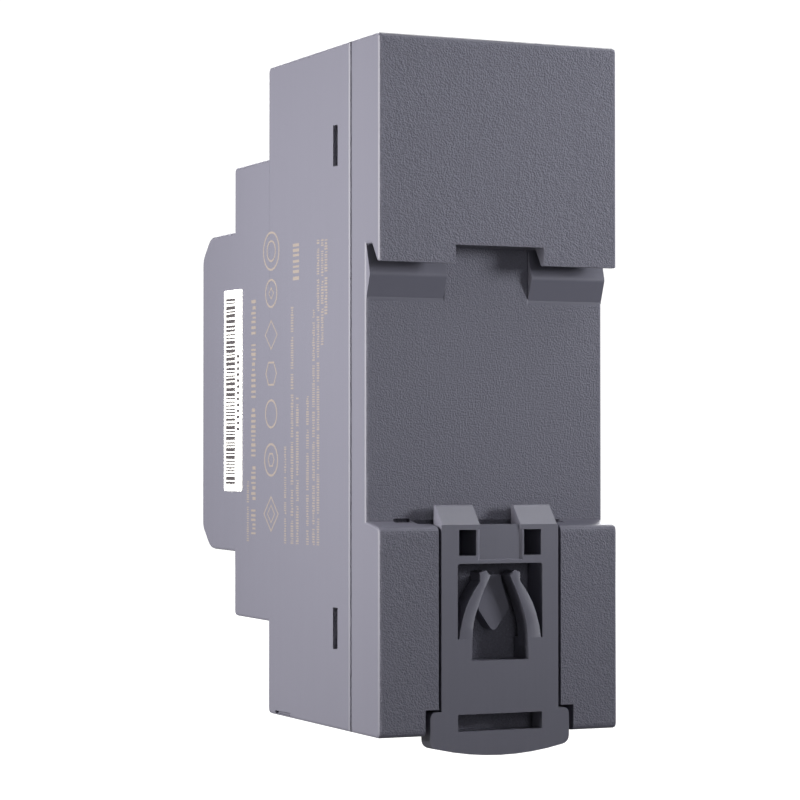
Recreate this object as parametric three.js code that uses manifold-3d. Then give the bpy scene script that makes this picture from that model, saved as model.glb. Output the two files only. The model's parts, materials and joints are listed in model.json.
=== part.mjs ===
// Power supply for a 35 mm DIN rail: a stepped two-part plastic housing, a sprung rail latch, screw terminals
// at both ends and the circuit boards inside.
//
// Millimetres. +X is the side with the sticker, +Y is the rear that faces the rail, +Z is up. The origin is
// on the face that seats on the rail, half way across the housing and on the rail's centre line.
// "Depth" is measured forward from the rearmost face of the housing.

import * as THREE from "three";
import { ConvexGeometry } from "three/addons/geometries/ConvexGeometry.js";
import { mergeVertices } from "three/addons/utils/BufferGeometryUtils.js";
import Module from "manifold-3d";

const wasm = await Module();
wasm.setup();

// ---- Driving dimensions -------------------------------------------------------------------------------

const WIDTH = 35;
const HEIGHT = 90;
const DEPTH = 57.5;
const MID_Z = -0.6; // the housing's mid height, seen from the rail's centre line
const DRAFT = Math.tan(THREE.MathUtils.degToRad(1.25)); // the ends taper towards the front
const WALL = 1.6;
const GAP = 0.3; // between pieces that touch
const EDGE = 0.35; // the rounding of the edges along the sides
const CORNER = 0.8; // the rounding of the edges that run across
const SEAM_DEPTH = 8.5; // where the rear cover meets the front shell

const RAIL_HEIGHT = 35;
const SEAT_DEPTH = 3.9; // the rail's seat, forward of the rearmost face
const HALF_WIDTH = WIDTH / 2;
const TOP_Z = MID_Z + HEIGHT / 2;
const BOTTOM_Z = MID_Z - HEIGHT / 2;
const HOOK_Z = RAIL_HEIGHT / 2; // the ceiling of the hook over the rail's upper edge
const LEDGE_Z = -18.1; // the foot of the rail recess
const LEDGE_OUTER_Z = -18.85;

// The stepped front: each step's depth and its half height there.
const TERMINAL_STEP = { depth: 34.4, half: 31.7 };
const MIDDLE_STEP = { depth: 46, half: 22.45 };
const NOSE = { shoulder: 54.7, half: 19.2, shoulderRound: 1.3, frontRound: 0.8 };

// The rail latch and the channel that it slides in.
const LATCH = {
  halfWidth: 8.6, top: -18.55, flangeHalf: 10.5, flangeTop: -20.2, flangeDepth: 2.5, thickness: 3.9,
  tabHalf: 10.2, tabTop: -42.5, tabCorner: -47.05, tabTip: -48.35, tabDepth: 2.6, tabRound: 1,
  clawIn: 3.0, clawOut: 8.4, clawTop: -16.0, clawDepth: 2.6,
};
// The two windows under the claws, the slot that takes a screwdriver and the hollows that save plastic.
const WINDOW = { x: [3.5, 6.05], z: [-22.55, -19.2], pocketDepth: 7.4 };
const TAB_SLOT = { half: 6.2, z: [-45.15, -42.95] };
const HOLLOW = { inner: 6.6, margin: 1, skin: 1.6, z: [-41, -24] };
const CHANNEL = {
  half: 9, floor: 4.2, grooveHalf: 10.9, grooveDepth: 2.2, mouthTop: -42.2, wallHalf: 12.5,
};
const SPRING = { rootZ: -33.3, rootIn: 4.13, rootOut: 5.95, near: 0.15, far: 2.8 };
const OPENING = { half: 6.25, top: -23.57, bottom: -36.1, footHalf: 4.2, round: 0.4 };

// The terminals: how far apart, and the depths of what lies inside each pole.
const PITCH = 7.5;
const OUTPUT_POLES = 4;
const INPUT_POLES = 2;
const INPUT_PITCH = 11;
const SCREW_OFFSET = 38; // the screws' distance from mid height
const TERMINAL = {
  near: 29.5, far: 42.2, rear: 14.9, front: 32.4, wireDepth: 20.8, entry: 4.8, pocket: 3.15, margin: 0.7,
};
const CAGE = { half: 3.0, wall: 0.8, rear: 17.6, front: 25.2, length: 5.6 };
const BAR = { half: 1.6, rear: 23.0, front: 24.0 };
const SCREW = {
  head: 2.05, shank: 1.4, headRear: 30.2, headFront: 32.2, tip: 24.3, slotWidth: 0.7, slotDepth: 0.8,
};
const SCREW_HOLE = 2.4;

// The boards.
const BOARD = { rear: 13, front: 14.6, half: 15.2 };
const CONTROL_BOARD = { inner: 13.4, outer: 14.8, low: -6, high: 17.5, front: 52 };
const TRIMMER = { x: 10.2, z: 12.5, hole: 1.9 };
const LAMP = { x: 10.2, z: 3.5, radius: 1.5 };

// ---- Materials ----------------------------------------------------------------------------------------

const paint = (color, roughness, metalness = 0) =>
  new THREE.MeshStandardMaterial({ color, roughness, metalness });
const MATERIAL = {
  housing: paint(0x55555f, 0.62),
  latch: paint(0x52525d, 0.5),
  terminal: paint(0x4a4a4e, 0.55),
  steel: paint(0xb9bcc0, 0.35, 1),
  tinned: paint(0xc9c6ba, 0.4, 1),
  sticker: paint(0xf2f2f0, 0.45),
  lens: paint(0x9fd8a6, 0.2),
  board: paint(0x2c5a38, 0.5),
  ferrite: paint(0x3a3a3c, 0.7),
  tape: paint(0xd9b53a, 0.5),
  copper: paint(0xb4623a, 0.35, 1),
  black: paint(0x1c1c1e, 0.5),
  heatsink: paint(0xa9abad, 0.45, 1),
  sleeve: paint(0x2b2d45, 0.35),
  capacitor: paint(0xe2b93c, 0.45),
  disc: paint(0x2f5fa8, 0.5),
  trimmer: paint(0x2f6fb5, 0.45),
  white: paint(0xe8e8e4, 0.5),
};

// ---- Shapes -------------------------------------------------------------------------------------------

// The closed solid of a three.js geometry.
function solid(geometry) {
  const bare = geometry.clone();
  bare.deleteAttribute("normal");
  bare.deleteAttribute("uv");
  const merged = mergeVertices(bare, 1e-4);
  const mesh = new wasm.Mesh({
    numProp: 3,
    vertProperties: merged.attributes.position.array,
    triVerts: new Uint32Array(merged.index.array),
  });
  return new wasm.Manifold(mesh);
}

const y = (depth) => SEAT_DEPTH - depth;

// A box between two widths, two depths and two heights.
function box([x0, x1], [d0, d1], [z0, z1]) {
  const geometry = new THREE.BoxGeometry(x1 - x0, d1 - d0, z1 - z0);
  return solid(geometry.translate((x0 + x1) / 2, y((d0 + d1) / 2), (z0 + z1) / 2));
}

const both = (half) => [-half, half];

// A round bar along the depth.
function rod([x, z], radius, [d0, d1], sides = 24) {
  const geometry = new THREE.CylinderGeometry(radius, radius, d1 - d0, sides);
  return solid(geometry.translate(x, y((d0 + d1) / 2), z));
}

// A closed outline through the given corners, each [u, v, radius], with its corners rounded.
function outline(corners) {
  const shape = new THREE.Shape();
  corners.forEach(([u, v, radius = 0], i) => {
    const here = new THREE.Vector2(u, v);
    const [before, after] = [corners.at(i - 1), corners[(i + 1) % corners.length]].map(([a, b]) =>
      new THREE.Vector2(a, b).sub(here).setLength(radius).add(here));
    if (i === 0) shape.moveTo(before.x, before.y);
    else shape.lineTo(before.x, before.y);
    if (radius > 0) shape.quadraticCurveTo(u, v, after.x, after.y);
  });
  return shape;
}

// Carries a shape's own axes to the housing's: u and v lie in the shape, w is the way it is extruded.
const axes = (u, v, w) => new THREE.Matrix4().makeBasis(u, v, w);
const X = new THREE.Vector3(1, 0, 0);
const Y = new THREE.Vector3(0, 1, 0);
const Z = new THREE.Vector3(0, 0, 1);

// A side profile, drawn as [depth, z, radius], run across the housing from x0 to x1, its end edges rounded.
function profile(corners, [x0, x1], round = 0) {
  const shape = outline(corners.map(([depth, z, radius]) => [y(depth), z, radius]));
  const geometry = new THREE.ExtrudeGeometry(shape, {
    depth: x1 - x0 - 2 * round,
    curveSegments: 4,
    bevelEnabled: round > 0,
    bevelSize: round,
    bevelThickness: round,
    bevelOffset: -round,
    bevelSegments: 2,
  });
  return solid(geometry.applyMatrix4(axes(Y, Z, X)).translate(x0 + round, 0, 0));
}

// A shape drawn in x and z, as seen along the depth, from depth d0 to d1.
function plate(shape, [d0, d1], curveSegments = 8) {
  const geometry = new THREE.ExtrudeGeometry(shape, { depth: d1 - d0, bevelEnabled: false, curveSegments });
  return solid(geometry.applyMatrix4(axes(X, Z, Y.clone().negate())).translate(0, y(d0), 0));
}

const rectangle = ([x0, x1], [z0, z1], radius = 0) =>
  outline([[x0, z0, radius], [x1, z0, radius], [x1, z1, radius], [x0, z1, radius]]);

const join = (...solids) => solids.reduce((whole, next) => whole.add(next));
const cut = (whole, ...tools) => tools.reduce((rest, tool) => rest.subtract(tool), whole);
const mirrored = (shape, across = [1, 0, 0]) => shape.mirror(across);
const pair = (shape) => join(shape, mirrored(shape));

const group = new THREE.Group();

// Adds one named piece to the object.
function piece(name, shape, material) {
  const { vertProperties, triVerts } = shape.getMesh();
  const geometry = new THREE.BufferGeometry()
    .setAttribute("position", new THREE.BufferAttribute(vertProperties, 3))
    .setIndex(new THREE.BufferAttribute(triVerts, 1));
  geometry.computeVertexNormals();
  const mesh = new THREE.Mesh(geometry, material);
  mesh.name = name;
  group.add(mesh);
}

// ---- Front shell --------------------------------------------------------------------------------------

// The half height of an end face at a depth, narrowing with the draft from where it starts.
const drafted = (half, from, depth) => half - (depth - from) * DRAFT;

// The stepped outline, moved in by a wall's thickness: the upper half, then the lower half mirrored.
function steppedOutline(inset, rear) {
  const front = (depth) => depth - inset;
  const end = (depth) => drafted(HEIGHT / 2, 0, depth) - inset;
  const step = TERMINAL_STEP;
  const middle = MIDDLE_STEP;
  const rounded = (radius) => (inset > 0 ? 0 : radius);
  const upper = [
    [rear, end(rear)],
    [front(step.depth), end(step.depth), rounded(CORNER)],
    [front(step.depth), step.half - inset],
    [front(middle.depth), drafted(step.half, step.depth, middle.depth) - inset, rounded(CORNER)],
    [front(middle.depth), middle.half - inset],
    [
      front(NOSE.shoulder) + inset / 2,
      drafted(middle.half, middle.depth, NOSE.shoulder) - inset,
      rounded(NOSE.shoulderRound),
    ],
    [front(DEPTH), NOSE.half - inset / 2, rounded(NOSE.frontRound)],
  ];
  const lower = upper.toReversed().map(([depth, half, radius]) => [depth, -half, radius]);
  return [...upper, ...lower].map(([depth, half, radius]) => [depth, MID_Z + half, radius]);
}

// Both terminals' poles: the x of each, and which end it is at.
const poles = [
  ...Array.from({ length: OUTPUT_POLES }, (_, i) => ({
    name: `output_${i + 1}`, x: (i - (OUTPUT_POLES - 1) / 2) * PITCH, end: 1,
  })),
  ...Array.from({ length: INPUT_POLES }, (_, i) => ({
    name: `input_${i + 1}`, x: (i - (INPUT_POLES - 1) / 2) * INPUT_PITCH, end: -1,
  })),
];

// A span of heights measured from mid height towards one end.
const span = (end, near, far) => [MID_Z + end * near, MID_Z + end * far].sort((a, b) => a - b);
const around = (centre, size) => [centre - size / 2, centre + size / 2];

// The snap windows in the sides, as [centre from mid height, length].
const SNAP = { depth: 12.3, width: 1.4, centre: 31.6, length: 5.4 };
// The short groove low on the side that a blade opens the housing by, measured up from the lower end.
const PRY_GROOVE = { depths: [27, 32], low: 0.9, high: 1.3 };

function frontShell() {
  const outer = profile(steppedOutline(0, SEAM_DEPTH + GAP / 2), both(HALF_WIDTH), EDGE);
  const inner = profile(steppedOutline(WALL, SEAM_DEPTH - WALL), both(HALF_WIDTH - WALL));
  const holes = poles.flatMap(({ x, end }) => [
    rod([x, MID_Z + end * SCREW_OFFSET], SCREW_HOLE, [TERMINAL.front, TERMINAL_STEP.depth + 1]),
    plate(
      rectangle(around(x, TERMINAL.entry + 0.4), span(end, TERMINAL.far, HEIGHT / 2 + 1)),
      around(TERMINAL.wireDepth, TERMINAL.entry + 0.4),
    ),
  ]);
  const windows = [1, -1].map((end) => box(
    both(HALF_WIDTH + 1),
    [SNAP.depth, SNAP.depth + SNAP.width],
    around(MID_Z + end * SNAP.centre, SNAP.length),
  ));
  const pryGroove = box([HALF_WIDTH - 0.5, HALF_WIDTH + 1], PRY_GROOVE.depths, [
    BOTTOM_Z + PRY_GROOVE.low,
    BOTTOM_Z + PRY_GROOVE.high,
  ]);
  return cut(
    cut(outer, inner),
    ...holes,
    ...windows,
    ...vents(),
    pryGroove,
    rod([TRIMMER.x, TRIMMER.z], TRIMMER.hole, [DEPTH - WALL - 1, DEPTH + 1]),
    rod([LAMP.x, LAMP.z], LAMP.radius + GAP, [DEPTH - WALL - 1, DEPTH + 1]),
  );
}

// Cooling slots in the end faces of the middle step.
const VENT = { count: 7, pitch: 4, width: 1.6, near: 37, far: 43.5 };

function vents() {
  return Array.from({ length: VENT.count }, (_, i) => box(
    around((i - (VENT.count - 1) / 2) * VENT.pitch, VENT.width),
    [VENT.near, VENT.far],
    both(HEIGHT),
  ));
}

// ---- Rear cover ---------------------------------------------------------------------------------------

// The wedges that press the rail back against the hook.
const RAMP = { inner: 6.3, crestZ: 13.7, crestDepth: 2.9, footZ: 10.8 };
const LIP = { bottom: 15.15, tipDepth: 0.74, rootDepth: 2.33, notchHalf: 6.5 };
const TONGUE = { thickness: 1, reach: 11 };

function rearCoverOutline() {
  const front = SEAM_DEPTH - GAP / 2;
  const end = drafted(HEIGHT / 2, 0, front);
  return [
    [front, MID_Z + end],
    [0, TOP_Z, CORNER],
    [0, LIP.bottom],
    [LIP.tipDepth, LIP.bottom],
    [LIP.rootDepth, HOOK_Z],
    [SEAT_DEPTH, HOOK_Z],
    [SEAT_DEPTH, LEDGE_Z],
    [0, LEDGE_OUTER_Z, CORNER],
    [0, BOTTOM_Z, CORNER],
    [front, MID_Z - end],
  ];
}

// The rooms inside the cover, all open to the front.
function coverRooms() {
  const side = both(HALF_WIDTH - WALL);
  const beside = [CHANNEL.wallHalf, HALF_WIDTH - WALL];
  const lower = [BOTTOM_Z + WALL, LEDGE_OUTER_Z - WALL];
  const front = SEAM_DEPTH + 1;
  return [
    box(side, [WALL, front], [HOOK_Z + WALL, TOP_Z - WALL - 0.2]),
    box(side, [SEAT_DEPTH + WALL, front], [lower[0], HOOK_Z + WALL + 1]),
    pair(box(beside, [WALL, front], lower)),
  ];
}

// A wall that stands inside the front shell's walls and centres one half on the other.
function tongue() {
  const reach = [SEAM_DEPTH - 3, TONGUE.reach];
  const outerHalf = HALF_WIDTH - WALL - GAP;
  const end = drafted(HEIGHT / 2, 0, TONGUE.reach) - WALL - GAP;
  const inner = TONGUE.thickness;
  return cut(
    box(both(outerHalf), reach, [MID_Z - end, MID_Z + end]),
    box(both(outerHalf - inner), [0, DEPTH], [MID_Z - end + inner, MID_Z + end - inner]),
  );
}

// One of the four hooks that catch in the front shell's snap windows.
function snapHook(end) {
  const outer = HALF_WIDTH - WALL - GAP;
  const heights = around(MID_Z + end * SNAP.centre, SNAP.length - 2 * GAP);
  const tip = SNAP.depth + SNAP.width + 0.4;
  return join(
    box([outer - 1.2, outer], [SEAM_DEPTH - 2, tip], heights),
    profile(
      [[SNAP.depth + 0.2, heights[0]], [SNAP.depth + 0.2, heights[1]], [tip, heights[1]], [tip, heights[0]]],
      [outer - 0.2, outer],
    ),
    box([outer - 0.1, HALF_WIDTH - 0.7], [SNAP.depth + 0.25, SNAP.depth + 0.85], heights),
  );
}

// The wedge behind the latch that spreads its spring arms.
const BOSS = {
  top: -25.1, topHalf: 1.15, shoulder: -25.8, wideHalf: 2.35, wide: -29.4, tip: -32.7, depth: 1.9,
};

function boss() {
  const shape = outline([
    [0, BOSS.tip, 1.1],
    [BOSS.wideHalf, BOSS.wide, 0.5],
    [BOSS.topHalf, BOSS.shoulder],
    [BOSS.topHalf, BOSS.top, 0.3],
    [-BOSS.topHalf, BOSS.top, 0.3],
    [-BOSS.topHalf, BOSS.shoulder],
    [-BOSS.wideHalf, BOSS.wide, 0.5],
  ]);
  return plate(shape, [BOSS.depth, CHANNEL.floor + 1]);
}

// A slit where the ledge meets the recess, beside the channel on the sticker's side.
const LEDGE_SLIT = { x: [11.2, 13.6], depths: [3.2, 4.7], high: 0.35, low: 1.6 };

// The deep pockets behind the latch's windows, and with a wall's thickness the cups round them.
function windowPocket(wall) {
  const grown = ([low, high], by) => [low - by, high + by];
  const [x, z] = [grown(WINDOW.x, 0.3 + wall), grown(WINDOW.z, 0.3 + wall)];
  return pair(box(x, [CHANNEL.floor - 1 + wall, WINDOW.pocketDepth + wall], z));
}

function rearCover() {
  const block = cut(profile(rearCoverOutline(), both(HALF_WIDTH), EDGE), ...coverRooms());
  const behindSeat = SEAT_DEPTH + 0.1;
  const ramp = profile(
    [[behindSeat, HOOK_Z + 0.1], [RAMP.crestDepth, RAMP.crestZ, 0.3], [behindSeat, RAMP.footZ - 0.3]],
    [RAMP.inner, HALF_WIDTH - 0.1],
  );
  const notch = box(both(LIP.notchHalf), [-1, LIP.rootDepth + 0.3], [LIP.bottom - 1, HOOK_Z + 0.05]);
  const channelFloor = box(both(CHANNEL.wallHalf), [CHANNEL.floor, CHANNEL.floor + WALL],
    [BOTTOM_Z + 0.3, LEDGE_Z - 0.4]);
  const channelSides = pair(box([CHANNEL.half, CHANNEL.wallHalf], [0.3, CHANNEL.floor + WALL],
    [BOTTOM_Z + 0.3, LEDGE_OUTER_Z - 0.4]));
  const slot = box(both(CHANNEL.half), [-1, CHANNEL.floor], [BOTTOM_Z - 1, LEDGE_Z + 0.1]);
  const grooveDepths = [CHANNEL.grooveDepth, CHANNEL.floor];
  const groove = box(both(CHANNEL.grooveHalf), grooveDepths, [BOTTOM_Z - 1, LEDGE_Z + 0.1]);
  const mouth = box(both(CHANNEL.grooveHalf), [-1, CHANNEL.floor], [BOTTOM_Z - 1, CHANNEL.mouthTop]);
  const shell = cut(
    join(block, channelFloor, channelSides, pair(ramp), windowPocket(1)),
    notch,
    slot,
    groove,
    mouth,
    windowPocket(0),
    box(LEDGE_SLIT.x, LEDGE_SLIT.depths, [LEDGE_Z - LEDGE_SLIT.low, LEDGE_Z + LEDGE_SLIT.high]),
  );
  const hooks = [1, -1].map((end) => pair(snapHook(end)));
  const upperTie = box(both(HALF_WIDTH - WALL - GAP), [SEAM_DEPTH - 3, SEAM_DEPTH - 0.5],
    [HOOK_Z + 2, HOOK_Z + 3]);
  return join(shell, boss(), tongue(), upperTie, ...hooks);
}

// ---- Rail latch ---------------------------------------------------------------------------------------

function latchOutline() {
  const { halfWidth, top, tabHalf, tabTop, tabCorner, tabTip, tabRound } = LATCH;
  const meeting = tabCorner - tabRound / 4; // where the rounded corner runs into the curved lower edge
  const shape = new THREE.Shape();
  shape.moveTo(-halfWidth, top);
  shape.lineTo(-halfWidth, tabTop);
  shape.lineTo(-tabHalf + tabRound, tabTop);
  shape.quadraticCurveTo(-tabHalf, tabTop, -tabHalf, tabTop - tabRound);
  shape.lineTo(-tabHalf, tabCorner + tabRound);
  shape.quadraticCurveTo(-tabHalf, tabCorner, -tabHalf + tabRound, meeting);
  shape.quadraticCurveTo(0, 2 * tabTip - meeting, tabHalf - tabRound, meeting);
  shape.quadraticCurveTo(tabHalf, tabCorner, tabHalf, tabCorner + tabRound);
  shape.lineTo(tabHalf, tabTop - tabRound);
  shape.quadraticCurveTo(tabHalf, tabTop, tabHalf - tabRound, tabTop);
  shape.lineTo(halfWidth, tabTop);
  shape.lineTo(halfWidth, top);
  return shape;
}

// The arched opening below the panel: wide beside the arms, and narrower below their roots.
function archOpening() {
  const { half, top, bottom, footHalf, round } = OPENING;
  const { rootZ, rootIn } = SPRING;
  return outline([
    [-half, top, round],
    [-half, rootZ],
    [-rootIn, rootZ],
    [-footHalf, bottom],
    [footHalf, bottom],
    [rootIn, rootZ],
    [half, rootZ],
    [half, top, round],
  ]);
}

// The shallow panel between the claws, whose sides and foot slope.
const PANEL = { inner: 2.9, outer: 3.4, depth: 0.24, low: -23.2, slope: 0.2 };

function hollowPanel() {
  const { inner, outer, depth, low, slope } = PANEL;
  const section = (d, half, foot) => [[-half, d, foot], [half, d, foot], [half, d, 0], [-half, d, 0]];
  const corners = [...section(-depth / 3, outer, low), ...section(depth, inner, low + slope)];
  return solid(new ConvexGeometry(corners.map(([x, d, z]) => new THREE.Vector3(x, y(d), z))));
}

// The room under the panel that the rear cover's wedge comes into as the latch is drawn down.
const WEDGE_ROOM = { half: 2.6, depth: 1.6, top: -21.2 };

// One of the claws that hold the rail's lower edge, with a sloping top that the rail pushes it open by.
function claw() {
  const { top, clawIn, clawOut, clawTop, clawDepth } = LATCH;
  const foot = top - 0.6;
  const crest = 0.5;
  const slope = [[0, foot], [0, top], [clawDepth - crest, clawTop, 0.2]];
  return profile([...slope, [clawDepth, clawTop, 0.2], [clawDepth, foot]], [clawIn, clawOut]);
}

function latch() {
  const { halfWidth, flangeHalf, flangeTop, flangeDepth, thickness, tabTop, tabTip, tabDepth } = LATCH;
  const through = [-1, thickness + 1];
  const behindTab = box(both(HALF_WIDTH), [tabDepth, thickness + 1], [tabTip - 1, tabTop + 1]);
  const flanges = box(both(flangeHalf), [flangeDepth, thickness], [tabTop + 0.8, flangeTop]);
  const wedgeHeights = [OPENING.top - 1, WEDGE_ROOM.top];
  const wedgeRoom = box(both(WEDGE_ROOM.half), [WEDGE_ROOM.depth, thickness + 1], wedgeHeights);
  const hollow = box([HOLLOW.inner, halfWidth - HOLLOW.margin], [HOLLOW.skin, thickness + 1], HOLLOW.z);
  const body = cut(
    join(plate(latchOutline(), [0, thickness]), flanges),
    behindTab,
    pair(plate(rectangle(WINDOW.x, WINDOW.z, 0.1), through)),
    hollowPanel(),
    wedgeRoom,
    plate(rectangle(both(TAB_SLOT.half), TAB_SLOT.z, 0.1), through),
    plate(archOpening(), through),
    pair(hollow),
  );
  return join(body, pair(claw()));
}

// The spring arm on the +X side, which leans against the wedge of the rear cover.
function springArm() {
  const shape = new THREE.Shape();
  const points = (pairs) => pairs.map(([u, v]) => new THREE.Vector2(u, v));
  shape.moveTo(SPRING.rootIn, SPRING.rootZ + GAP);
  shape.lineTo(SPRING.rootOut, SPRING.rootZ + GAP);
  shape.splineThru(points([[5.68, -31.4], [4.87, -28.95], [3.75, -27.0], [2.9, -25.9]]));
  shape.lineTo(2.95, -24.75);
  shape.lineTo(2.1, -24.45);
  shape.lineTo(1.5, -25.2);
  shape.splineThru(points([[1.98, -26.2], [2.45, -27.1], [3.2, -29.0], [3.85, -31.0], [SPRING.rootIn, -33.0]]));
  return plate(shape, [SPRING.near, SPRING.far], 3);
}

// ---- Terminals ----------------------------------------------------------------------------------------

// A terminal body for the poles at one end, with a pocket for each cage and holes for its wire and screw.
function terminalBody(end) {
  const own = poles.filter((pole) => pole.end === end);
  const half = Math.max(...own.map(({ x }) => x)) + TERMINAL.pocket + TERMINAL.margin;
  const block = box(both(half), [TERMINAL.rear, TERMINAL.front], span(end, TERMINAL.near, TERMINAL.far));
  const rooms = own.flatMap(({ x }) => [
    box(around(x, 2 * TERMINAL.pocket), [CAGE.rear - GAP, TERMINAL.front - 2.6], span(end, 34.2, 41.2)),
    box(around(x, TERMINAL.entry), around(TERMINAL.wireDepth, TERMINAL.entry), span(end, 40, 44)),
    box(around(x, 2 * BAR.half + 2 * GAP), [BAR.rear - GAP, BAR.front + GAP], span(end, 30.6, 36)),
    box(around(x, 2 * BAR.half + 2 * GAP), [TERMINAL.rear - 1, BAR.front + GAP], span(end, 30.6, 32.4)),
    rod([x, MID_Z + end * SCREW_OFFSET], SCREW.head + 0.3, [TERMINAL.front - 3, TERMINAL.front + 1]),
  ]);
  return cut(block, ...rooms);
}

// A rectangular ring that the screw draws forward, so that it presses the wire against the bar.
function cage({ x, end }) {
  const lengths = around(MID_Z + end * SCREW_OFFSET, CAGE.length);
  const inner = CAGE.half - CAGE.wall;
  return cut(
    box(around(x, 2 * CAGE.half), [CAGE.rear, CAGE.front], lengths),
    box(around(x, 2 * inner), [CAGE.rear + CAGE.wall, CAGE.front - 0.95], both(HEIGHT)),
    rod([x, MID_Z + end * SCREW_OFFSET], SCREW.shank + 0.15, [CAGE.front - 2, CAGE.front + 1], 16),
  );
}

// The fixed bar inside a cage, with its leg down to the board.
function contactBar({ x, end }) {
  return join(
    box(around(x, 2 * BAR.half), [BAR.rear, BAR.front], span(end, 31, 40.6)),
    box(around(x, 2 * BAR.half), [BOARD.front + GAP, BAR.rear + 0.5], span(end, 31, 32)),
  );
}

function terminalScrew({ x, end }) {
  const centre = [x, MID_Z + end * SCREW_OFFSET];
  const half = SCREW.head - 0.15;
  const slotDepths = [SCREW.headFront - SCREW.slotDepth, SCREW.headFront + 1];
  return cut(
    join(
      rod(centre, SCREW.head, [SCREW.headRear, SCREW.headFront]),
      rod(centre, SCREW.shank, [SCREW.tip, SCREW.headRear + 0.1], 16),
    ),
    box(around(x, 2 * half), slotDepths, around(centre[1], SCREW.slotWidth)),
    box(around(x, SCREW.slotWidth), slotDepths, around(centre[1], 2 * half)),
  );
}

function addTerminals() {
  piece("output_terminal_body", terminalBody(1), MATERIAL.terminal);
  piece("input_terminal_body", terminalBody(-1), MATERIAL.terminal);
  for (const pole of poles) {
    piece(`${pole.name}_screw`, terminalScrew(pole), MATERIAL.steel);
    piece(`${pole.name}_cage`, cage(pole), MATERIAL.steel);
    piece(`${pole.name}_bar`, contactBar(pole), MATERIAL.tinned);
  }
}

// ---- Boards and what stands on them -------------------------------------------------------------------

const ON_BOARD = BOARD.front + GAP;

// A block that stands on the main board, over a rectangle given by its centre and size.
const standing = ([x, z], [width, length], height) =>
  box(around(x, width), [ON_BOARD, ON_BOARD + height], around(z, length));

function mainBoard() {
  const notch = pair(box([HALF_WIDTH - WALL - GAP - 1.9, HALF_WIDTH], [0, DEPTH], both(4.2)));
  const notches = [1, -1].map((end) => notch.translate([0, 0, MID_Z + end * SNAP.centre]));
  return cut(box(both(BOARD.half), [BOARD.rear, BOARD.front], [MID_Z - 42, MID_Z + 42]), ...notches);
}

function electrolytic([x, z], radius, height) {
  const groove = new THREE.LatheGeometry(
    outline([[0, 0], [radius, 0, 0.4], [radius, 1.6], [radius - 0.4, 2], [radius, 2.4], [radius, height, 0.6],
      [0, height]]).getPoints(3),
    28,
  );
  return solid(groove.rotateX(Math.PI).translate(x, y(ON_BOARD), z));
}

// An E core lying flat, whose middle leg runs along z through the winding.
const TRANSFORMER = {
  x: -1.5, z: 4.5, depth: 23.5, half: 10.5, length: 17, core: 3, leg: 3, back: 3.2, winding: 7.5,
};

function coreHalf(side) {
  const { x, z, depth, half, length, core, leg, back, winding } = TRANSFORMER;
  const lengths = [GAP / 2, length / 2].map((reach) => z + side * reach).sort((a, b) => a - b);
  const window = box([leg, winding + 2 * GAP], both(DEPTH), both(length / 2 - back));
  return cut(
    box(around(x, 2 * half), around(depth, 2 * core), lengths),
    pair(window).translate([x, 0, z]),
  );
}

function transformerWinding() {
  const { x, z, depth, length, core, leg, back, winding } = TRANSFORMER;
  return cut(
    box(around(x, 2 * winding), around(depth, 2 * winding), around(z, length - 2 * back - 2 * GAP)),
    box(around(x, 2 * leg + 2 * GAP), around(depth, 2 * core + 2 * GAP), around(z, length)),
  );
}

function addTransformer() {
  const { x, z } = TRANSFORMER;
  piece("transformer_core_upper", coreHalf(1), MATERIAL.ferrite);
  piece("transformer_core_lower", coreHalf(-1), MATERIAL.ferrite);
  piece("transformer_winding", transformerWinding(), MATERIAL.tape);
  piece("transformer_bobbin_foot", standing([x, z], [18, 9], 0.7), MATERIAL.black);
}

function addInputStage() {
  piece("fuse", standing([-11, -25.2], [8, 4], 8), MATERIAL.black);
  piece("inrush_limiter", rodDisc([-2.6, -25.2], 4, 3.4), MATERIAL.black);
  piece("surge_varistor", rodDisc([6.2, -25.2], 4.2, 3.4), MATERIAL.disc);
  piece("line_capacitor", standing([7.4, -19.2], [9.4, 5], 11), MATERIAL.capacitor);
  const choke = new THREE.TorusGeometry(4.1, 2.1, 10, 22).translate(-8.2, y(ON_BOARD + 6.4), -18.6);
  piece("line_choke", solid(choke), MATERIAL.copper);
  piece("bridge_rectifier", standing([0.6, -19.2], [1.5, 5], 8), MATERIAL.black);
  piece("bulk_capacitor_1", electrolytic([-8.4, -10], 5.2, 25), MATERIAL.sleeve);
  piece("bulk_capacitor_2", electrolytic([3, -10], 5.2, 25), MATERIAL.sleeve);
}

// A disc on edge, standing on the board and facing the ends of the housing.
function rodDisc([x, z], radius, thickness) {
  const geometry = new THREE.CylinderGeometry(radius, radius, thickness, 20).rotateX(Math.PI / 2);
  return solid(geometry.translate(x, y(ON_BOARD + radius), z));
}

function addOutputStage() {
  piece("output_capacitor_1", electrolytic([-9.6, 22.4], 5, 20), MATERIAL.sleeve);
  piece("output_capacitor_2", electrolytic([1, 22.4], 5, 20), MATERIAL.sleeve);
  piece("output_choke", rod([10.4, 23], 3.4, [ON_BOARD, ON_BOARD + 11], 20), MATERIAL.ferrite);
  piece("output_rectifier", standing([-13.1, 10.6], [1.3, 8], 13), MATERIAL.black);
  piece("primary_switch", standing([10.8, -10], [3, 8], 13), MATERIAL.black);
  piece("switch_heatsink", cut(
    standing([13.9, -11.8], [2.2, 10.8], 20),
    ...[-3.2, 0, 3.2].map((shift) => box([14.3, 16], [ON_BOARD + 2, DEPTH], around(-11.8 + shift, 1.6))),
  ), MATERIAL.heatsink);
  piece("optocoupler", standing([10.9, -1.6], [4, 4.4], 3.4), MATERIAL.black);
  piece("safety_capacitor", rodDisc([10.9, 15.6], 2.2, 2.4), MATERIAL.disc);
}

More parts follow.
